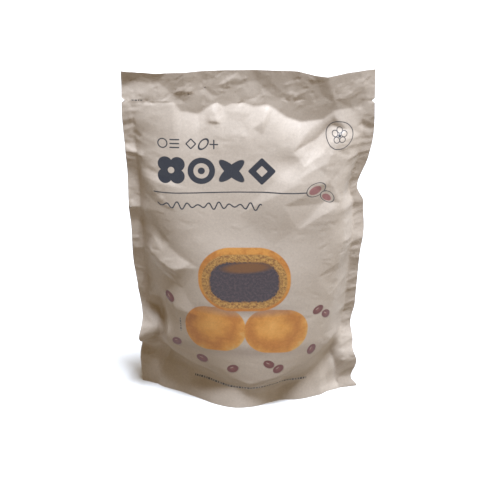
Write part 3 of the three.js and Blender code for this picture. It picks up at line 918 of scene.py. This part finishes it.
# Back print: u of the panel's middle in the layout, the table, the lines above it and the heading
BACK_MIDDLE = FLAT_WIDTH + LAYOUT_GAP
TABLE_LEVEL = 132.0
TABLE_SIZE = (150.0, 72.0)
ROW_HEIGHT = 9.0
TEXT_LEVEL = 214.0
TEXT_SPACING = 5.2
HEADING_LEVEL = 240.0


def title_ornaments(pen):
    """Four bold ornaments in a row: a quatrefoil, a ring, crossed leaves and a diamond."""
    flower, circle, cross, lozenge = (
        (PRINT_LEFT + TITLE_INSET + TITLE_SPACING * k, TITLE_LEVEL) for k in range(4)
    )
    reach = 5.6
    petals = [
        pen.disc((flower[0] + a * reach, flower[1] + b * reach), 6.9) for a in (-1, 1) for b in (-1, 1)
    ]
    quatrefoil = pen.cut(pen.union(petals), pen.disc(flower, 3.0))
    ring = pen.cut(pen.disc(circle, 12.5), pen.disc(circle, 7.2))
    leaves = [pen.ellipse(cross, (15.0, 4.9), angle) for angle in (-42, 42)]
    diamond = pen.cut(
        pen.bar(lozenge, (18.4, 18.4), 1.6, 45), pen.bar(lozenge, (7.4, 7.4), 0.8, 45)
    )
    return pen.union([quatrefoil, ring, pen.disc(circle, 3.2), *leaves, diamond])


def subtitle_signs(pen):
    """A row of thin signs: a ring, bars, a lozenge, a leaf and a cross."""
    ring, bars, lozenge, leaf, cross = (
        (PRINT_LEFT + inset, SUBTITLE_LEVEL) for inset in (5, 16, 31, 42.5, 52)
    )
    return pen.union([
        pen.outline(pen.disc(ring, 4.2), LINE),
        *(pen.bar((bars[0], bars[1] + k * 3.7), (9.0, 1.2), 0.5) for k in (-1, 0, 1)),
        pen.frame(lozenge, (7.4, 7.4), LINE, 45),
        pen.outline(pen.ellipse(leaf, (5.6, 3.2), 50), LINE),
        pen.bar(cross, (8.0, 1.2), 0.5),
        pen.bar(cross, (1.2, 9.0), 0.5),
    ])


def flourish(pen, u, v):
    """A wavy pen line of changing height, under the rule."""
    height = pen.math("MULTIPLY_ADD", pen.sine(u, 34.0, 0.6), 1.2, 2.3)
    wave = pen.math("MULTIPLY", pen.sine(u, WAVE_LENGTH), height)
    off = pen.math("SUBTRACT", pen.math("SUBTRACT", v, FLOURISH_LEVEL), wave)
    rise = pen.math("MULTIPLY", pen.sine(u, WAVE_LENGTH, math.pi / 2), height)
    slope = pen.math("MULTIPLY", rise, 2 * math.pi / WAVE_LENGTH)
    line = pen.math("DIVIDE", pen.math("ABSOLUTE", off), pen.length(slope, 1.0))
    middle = (PRINT_LEFT + FLOURISH_LENGTH / 2, FLOURISH_LEVEL)
    room = pen.bar(middle, (FLOURISH_LENGTH, 12), 1.0)
    return pen.math("MAXIMUM", pen.math("SUBTRACT", line, 0.62), room)


def badge(pen):
    """A thin ring round a small five-petalled flower."""
    count, reach = 5, 4.4
    turns = (2 * math.pi * k / count for k in range(count))
    petals = [
        pen.disc((BADGE[0] + reach * math.sin(turn), BADGE[1] + reach * math.cos(turn)), 2.5)
        for turn in turns
    ]
    return pen.union([
        pen.outline(pen.disc(BADGE, 12.2), 0.75),
        pen.outline(pen.union(petals), 0.65),
        pen.disc(BADGE, 1.3),
    ])


def drawn_beans(pen, colour):
    """Two beans in thin outline at the end of the rule, filled a little out of line."""
    for centre, radii, angle in DRAWN_BEANS:
        outer = pen.ellipse(centre, radii, angle)
        inner = pen.ellipse((centre[0] - 0.8, centre[1] - 0.6), (radii[0] * 0.66, radii[1] * 0.62), angle)
        colour = pen.paint(colour, KRAFT, outer)
        colour = pen.paint(colour, BLUSH, inner)
        colour = pen.paint(colour, INK, pen.outline(outer, 0.6))
    return colour


def whole_bun(pen, colour, centre, size, angle, grain):
    """A printed golden bun, light near the middle, darker round that, and pale at its rim."""
    shape = pen.bar(centre, size, size[1] * 0.48, angle)
    lit = (centre[0] - size[0] * 0.05, centre[1] + size[1] * 0.10)
    away = pen.length(*pen.local(lit, angle, (size[0] * 0.60, size[1] * 0.70)))
    tone = pen.math("ADD", away, pen.spread(grain, *NOISE, -0.14, 0.14))
    crust = pen.ramp(tone, [
        (0.0, CRUST_LIGHT), (0.35, CRUST), (0.62, CRUST_DARK), (0.86, CRUST), (1.0, CRUST_RIM),
    ])
    return pen.paint(colour, crust, shape, 0.8)


def cut_bun(pen, colour, centre, size, angle, grain, crumb_grain):
    """A printed bun cut through: a thin crust, a ring of crumb and a broad dark filling."""
    u, v = centre
    width, height = size
    rough = pen.spread(crumb_grain, *NOISE, -1.6, 1.6)
    shape = pen.bar(centre, size, height * 0.47, angle)
    up = pen.local(centre, angle, size)[1]
    tone = pen.math("ADD", pen.spread(up, -0.5, 0.5), pen.spread(grain, *NOISE, -0.2, 0.2))
    crust = pen.ramp(tone, [(0.0, CRUST_DARK), (0.45, CRUST), (0.8, CRUST_DARK), (1.0, CRUST)])
    colour = pen.paint(colour, crust, shape, 0.8)
    face = pen.bar((u, v - 2.0), (width - 6.5, height - 9.5), height * 0.41, angle)
    face = pen.math("ADD", face, pen.math("MULTIPLY", rough, 0.3))
    crumb = pen.blend(CRUMB, CRUMB_DARK, pen.spread(crumb_grain, 0.42, 0.60))
    colour = pen.paint(colour, crumb, face, 1.0)
    paste = pen.bar((u, v - 2.5), (width - 21, height - 24), height * 0.29, angle)
    filling = pen.blend(FILLING, FILLING_LIGHT, pen.spread(crumb_grain, 0.45, 0.62))
    colour = pen.paint(colour, filling, pen.math("ADD", paste, rough), 1.4)
    hollow = pen.ellipse((u + 2, v + 12), (width * 0.25, 5.0), angle + 3)
    return pen.paint(colour, HOLLOW, hollow, 2.4)


def bun_picture(pen, colour):
    """Two whole buns side by side with a cut one on top of them."""
    grain = pen.noise(0.10, 4, roughness=0.6)
    crumb_grain = pen.noise(0.42, 4, roughness=0.7)
    colour = pen.paint(colour, PRINT_SHADOW, pen.ellipse(*GROUND_SHADE), 7.0, 0.55)
    for bun in WHOLE_BUNS:
        colour = whole_bun(pen, colour, *bun, grain)
    colour = pen.paint(colour, PRINT_SHADOW, pen.ellipse(*CUT_SHADE), 7.0, 0.7)
    return cut_bun(pen, colour, *CUT_BUN, grain, crumb_grain)


def scattered_beans(pen, colour):
    """Loose beans round the buns, each with a small shadow and a pale eye."""
    shadows = [pen.ellipse((u + 0.6, v - 1.0), radii, angle) for (u, v), radii, angle in BEANS]
    body = pen.union([pen.ellipse(*bean) for bean in BEANS])
    eyes = pen.union([
        pen.ellipse((u - 0.9, v + 1.1), (radii[0] * 0.30, 0.55), angle) for (u, v), radii, angle in BEANS
    ])
    colour = pen.paint(colour, PRINT_SHADOW, pen.union(shadows), 1.6, 0.6)
    lit = pen.blend(BEAN, BEAN_LIGHT, pen.spread(body, -4.0, -1.5, 1.0, 0.0))
    colour = pen.paint(colour, lit, body, 0.5)
    return pen.paint(colour, BEAN_EYE, eyes, 0.5, 0.7)


def fine_print(pen, along, across, middle, length, height):
    """A line of tiny irregular strokes."""
    strokes = pen.math("ADD", pen.sine(along, 2.7), pen.sine(along, 1.63, 1.3))
    gaps = pen.math("MULTIPLY_ADD", strokes, -0.5, -0.12)
    ends = pen.stretch(along, middle[0], length)
    rows = pen.stretch(across, middle[1], height)
    return pen.math("MAXIMUM", gaps, pen.math("MAXIMUM", ends, rows))


def front_print(pen, colour):
    colour = bun_picture(pen, colour)
    colour = scattered_beans(pen, colour)
    u, v = pen.axes()
    marks = pen.union([
        title_ornaments(pen),
        subtitle_signs(pen),
        flourish(pen, u, v),
        badge(pen),
        pen.bar(RULE_MIDDLE, (RULE_LENGTH, LINE), 0.5, RULE_TILT),
        fine_print(pen, u, v, *SMALL_PRINT),
        fine_print(pen, v, u, *UPRIGHT_PRINT),
        fine_print(pen, u, v, *CORNER_PRINT),
    ])
    return drawn_beans(pen, pen.paint(colour, INK, marks))


def back_print(pen, colour):
    """A plain back: a heading bar, a ruled table and blocks of fine lines."""
    u, v = pen.axes()
    levels = [TABLE_LEVEL - TABLE_SIZE[1] / 2 + ROW_HEIGHT * k for k in range(1, 8)]
    rules = [pen.bar((BACK_MIDDLE, level), (TABLE_SIZE[0], 0.4), 0.1) for level in levels]
    words = [
        fine_print(pen, u, v, (BACK_MIDDLE - 34, level + ROW_HEIGHT / 2), 62, 1.8) for level in levels
    ]
    text = [
        fine_print(pen, u, v, (BACK_MIDDLE - 6, TEXT_LEVEL - TEXT_SPACING * k), 138 - 7 * (k % 3), 1.9)
        for k in range(6)
    ]
    marks = pen.union([
        pen.frame((BACK_MIDDLE, TABLE_LEVEL), TABLE_SIZE, 0.7), *rules, *words, *text,
        pen.bar((BACK_MIDDLE - 40, HEADING_LEVEL), (70, 9), 2.0),
        pen.outline(pen.ellipse((BACK_MIDDLE + 52, HEADING_LEVEL), (13, 9)), 0.8),
        fine_print(pen, u, v, (BACK_MIDDLE, 62), 110, 1.9),
    ])
    return pen.paint(colour, INK, marks)


def new_material(name, finish):
    """A material, and its shader with the values of a finish."""
    material = bpy.data.materials.new(name)
    material.use_nodes = True
    shader = material.node_tree.nodes["Principled BSDF"]
    for socket, value in finish.items():
        shader.inputs[socket].default_value = value
    return material, shader


def film_material():
    """Matt kraft paper with a cloudy, fibrous tone and a fine grain, and the print on it."""
    material, shader = new_material("kraft_film", {
        "Roughness": 0.5, "Specular IOR Level": 0.5, "Sheen Weight": 0.12, "Sheen Roughness": 0.4,
    })
    pen = Pen(material.node_tree)
    cloudy = pen.noise(0.035, 3)
    mottled = pen.noise(0.45, 4, roughness=0.6)
    fibres = pen.math("ADD", *(pen.noise(1.4, 2, (4.0, 0.6), angle) for angle in (24, -63)))
    tone = pen.spread(cloudy, *NOISE, 0.96, 1.04)
    tone = pen.math("ADD", tone, pen.spread(mottled, *NOISE, -0.06, 0.06))
    tone = pen.math("ADD", tone, pen.spread(fibres, 0.7, 1.3, -0.07, 0.07))
    grey = pen.node("ShaderNodeCombineColor")
    for name in ("Red", "Green", "Blue"):
        pen.link(tone, grey.inputs[name])
    colour = back_print(pen, front_print(pen, KRAFT))
    colour = pen.blend(colour, grey.outputs[0], 1.0, "MULTIPLY")
    pen.link(colour, shader.inputs["Base Color"])

    bumped = pen.node("ShaderNodeBump")
    bumped.inputs["Strength"].default_value = 0.25
    bumped.inputs["Distance"].default_value = 0.15 * MM
    grain = pen.math("ADD", mottled, pen.math("MULTIPLY", fibres, 0.5))
    pen.link(grain, bumped.inputs["Height"])
    pen.link(bumped.outputs[0], shader.inputs["Normal"])
    return material


# Half the floor's side, in metres
FLOOR = 3.0


def floor():
    """A plain pale floor, which throws no diffuse light on the pouch."""
    mesh = bpy.data.meshes.new("floor")
    corners = [(-FLOOR, -FLOOR, 0), (FLOOR, -FLOOR, 0), (FLOOR, FLOOR, 0), (-FLOOR, FLOOR, 0)]
    mesh.from_pydata(corners, [], [(0, 1, 2, 3)])
    made = bpy.data.objects.new("floor", mesh)
    bpy.context.collection.objects.link(made)
    mesh.materials.append(new_material("floor", {"Base Color": (0.86, 0.84, 0.80, 1), "Roughness": 0.9})[0])
    made.visible_diffuse = False


# Lamps, all aimed at one point: name, azimuth and elevation in degrees, side, power, colour
LAMP_AIM = Vector((0, 0, 0.16))
LAMP_DISTANCE = 6.0
LAMPS = [
    ("key", 50, 78, 2.0, 900, (0.83, 0.94, 1.13)),
    ("side", 95, 15, 2.5, 70, (1.0, 1.0, 0.95)),
]
SURROUNDINGS = (1.0, 0.76, 0.46, 1)
SURROUNDINGS_STRENGTH = 0.25


def direction(azimuth, elevation):
    """Unit vector away from the pouch; at azimuth 0 it points straight out of the front."""
    azimuth, elevation = math.radians(azimuth), math.radians(elevation)
    return Vector((
        math.sin(azimuth) * math.cos(elevation),
        -math.cos(azimuth) * math.cos(elevation),
        math.sin(elevation),
    ))


def lighting():
    world = bpy.data.worlds.new("studio")
    bpy.context.scene.world = world
    world.use_nodes = True
    background = world.node_tree.nodes["Background"]
    background.inputs["Color"].default_value = SURROUNDINGS
    background.inputs["Strength"].default_value = SURROUNDINGS_STRENGTH
    for name, azimuth, elevation, side, power, colour in LAMPS:
        data = bpy.data.lights.new(name, "AREA")
        data.shape = "RECTANGLE"
        data.size, data.size_y = side, side
        data.energy = power
        data.color = colour
        made = bpy.data.objects.new(name, data)
        bpy.context.collection.objects.link(made)
        towards = direction(azimuth, elevation)
        made.location = LAMP_AIM + towards * LAMP_DISTANCE
        made.rotation_euler = towards.to_track_quat("Z", "Y").to_euler()
    bpy.context.scene.view_settings.view_transform = "Standard"


# Camera: direction in degrees, distance in metres, level of its aim in millimetres, focal length and
# shift in pixels of a picture FRAME_PIXELS wide, and sensor in millimetres
AZIMUTH = 0.6
ELEVATION = 28.7
DISTANCE = 2.25
AIM_LEVEL = 165.0
FOCAL_PIXELS = 2420.0
FRAME_PIXELS = 500.0
CENTRE_SHIFT = (-2.0, -18.0)
SENSOR = 36.0


def camera(centre):
    data = bpy.data.cameras.new("camera")
    data.sensor_width = SENSOR
    data.lens = SENSOR * FOCAL_PIXELS / FRAME_PIXELS
    data.shift_x = -CENTRE_SHIFT[0] / FRAME_PIXELS
    data.shift_y = CENTRE_SHIFT[1] / FRAME_PIXELS
    made = bpy.data.objects.new("camera", data)
    bpy.context.collection.objects.link(made)
    back = direction(AZIMUTH, ELEVATION)
    aim = Vector((-centre[0], -centre[1], AIM_LEVEL)) * MM
    made.location = aim + back * DISTANCE
    made.rotation_euler = back.to_track_quat("Z", "Y").to_euler()
    bpy.context.scene.camera = made


film_mesh, middle_point = pouch_mesh()
film_mesh.materials.append(film_material())
pouch = bpy.data.objects.new("pouch_film", film_mesh)
bpy.context.collection.objects.link(pouch)
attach(pouch, "root")
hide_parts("pouch")

floor()
lighting()
camera(middle_point)
